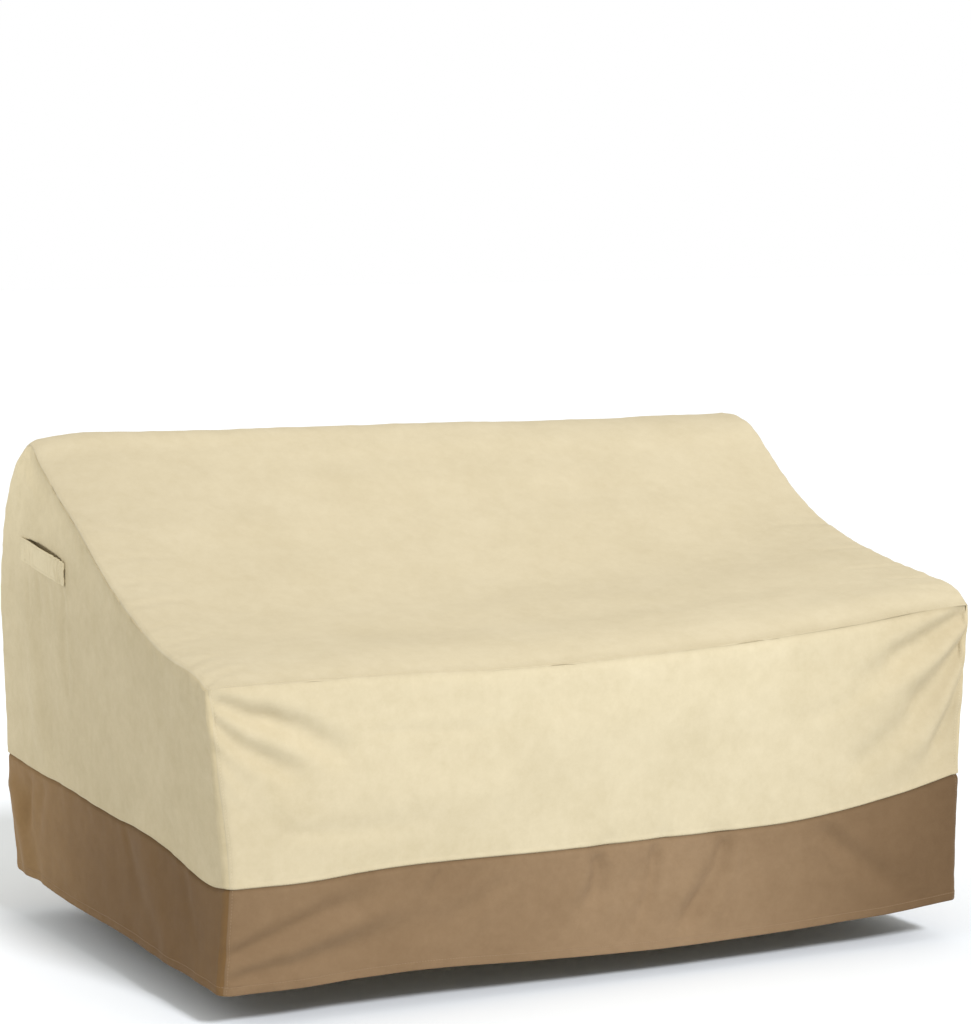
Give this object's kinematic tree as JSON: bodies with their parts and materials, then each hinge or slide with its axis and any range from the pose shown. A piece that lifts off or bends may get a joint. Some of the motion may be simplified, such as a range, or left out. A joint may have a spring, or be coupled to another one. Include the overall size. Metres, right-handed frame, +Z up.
{
  "type": "outdoor sofa cover",
  "caption": "Fitted outdoor cover shaped like a small sofa: sloping back, level seat, darker band round the hem and carry handles on the sides; hollow and open at the bottom.",
  "frame": {"origin": "underside of the cloth in the middle of the ridge, where the top of the sofa's backrest holds the cover up", "axes": "+X to the right of someone who faces the cover's front, +Y from the seat's front to the back, +Z up"},
  "size_m": [1.4463, 0.959, 0.8158],
  "materials": {
    "shell_cloth": "matt woven polyester with a waterproof backing, beige",
    "band_cloth": "matt woven polyester with a waterproof backing, brown",
    "handle_cloth": "matt woven polyester, beige"
  },
  "bodies": {
    "root": {"top_panel": "shell_cloth", "front_panel": "shell_cloth", "back_panel": "shell_cloth", "side_panel_left": "shell_cloth", "side_panel_right": "shell_cloth", "band_front": "band_cloth", "band_back": "band_cloth", "band_left": "band_cloth", "band_right": "band_cloth", "handle_left": "handle_cloth", "handle_right": "handle_cloth"}
  },
  "joints": []
}
